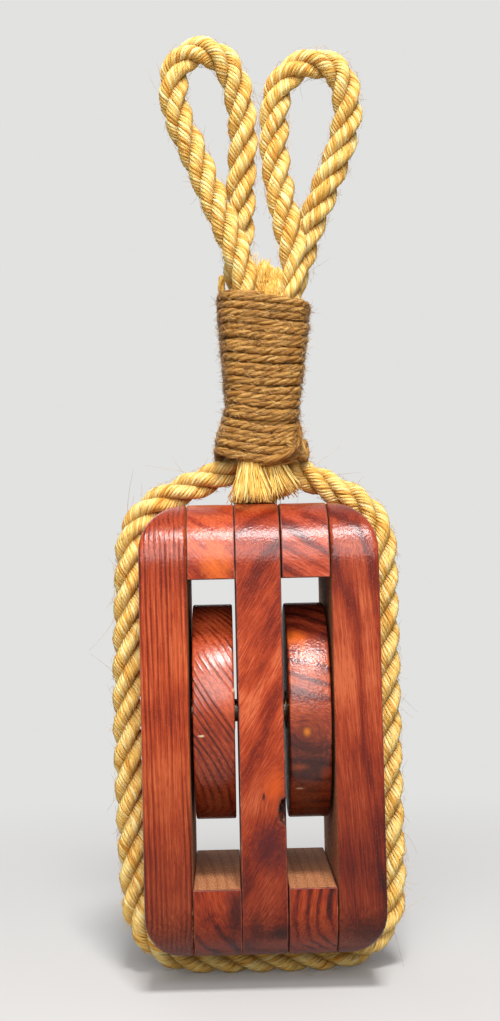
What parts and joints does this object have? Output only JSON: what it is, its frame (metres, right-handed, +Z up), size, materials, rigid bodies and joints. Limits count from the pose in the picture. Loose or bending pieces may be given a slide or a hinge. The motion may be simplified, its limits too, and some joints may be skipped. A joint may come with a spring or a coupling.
{
  "type": "rope-stropped pulley block",
  "caption": "Wooden block with side-by-side sheaves on a pin between laminated boards, held in a rope strop that is seized above the head, with soft rope eyes to hang it by.",
  "frame": {"origin": "the point both rope eyes hang from: midway between them, under their crowns, above the middle of the shell's depth", "axes": "+Z up along the hang, +X along the sheave pin to the right as seen from the front, +Y to the back, so the front faces -Y"},
  "size_m": [0.121, 0.0888, 0.3947],
  "materials": {
    "stained_board": "red-brown stain under gloss varnish",
    "light_board": "orange-brown stain under gloss varnish",
    "dark_board": "dark red-brown stain under gloss varnish",
    "sheave_wood": "stained, satin to gloss",
    "dowel": "bare, hidden inside",
    "pin": "plain turned steel",
    "bush": "plain turned brass",
    "rope": "laid natural fibre rope, slightly hairy",
    "twine": "brown laid twine"
  },
  "bodies": {
    "shell": {"left_cheek": "stained_board", "right_cheek": "stained_board", "centre_partition": "light_board", "left_head_spacer": "light_board", "right_head_spacer": "dark_board", "left_tail_spacer": "dark_board", "right_tail_spacer": "stained_board", "head_dowel_front": "dowel", "head_dowel_back": "dowel", "tail_dowel_front": "dowel", "tail_dowel_back": "dowel", "sheave_pin": "pin", "strop_rope": "rope", "left_eye_rope": "rope", "right_eye_rope": "rope", "seizing_twine": "twine", "twine_riding_end": "twine", "twine_knot": "twine"},
    "left_wheel": {"left_sheave": "sheave_wood", "left_sheave_bush": "bush"},
    "right_wheel": {"right_sheave": "sheave_wood", "right_sheave_bush": "bush"}
  },
  "joints": [
    {"name": "left_sheave_spin", "type": "hinge", "parent": "shell", "child": "left_wheel", "pos_m": [-0.01855, 0, -0.27109], "axis": [1, 0, 0], "continuous": true},
    {"name": "right_sheave_spin", "type": "hinge", "parent": "shell", "child": "right_wheel", "pos_m": [0.0194, 0, -0.27109], "axis": [1, 0, 0], "continuous": true}
  ]
}
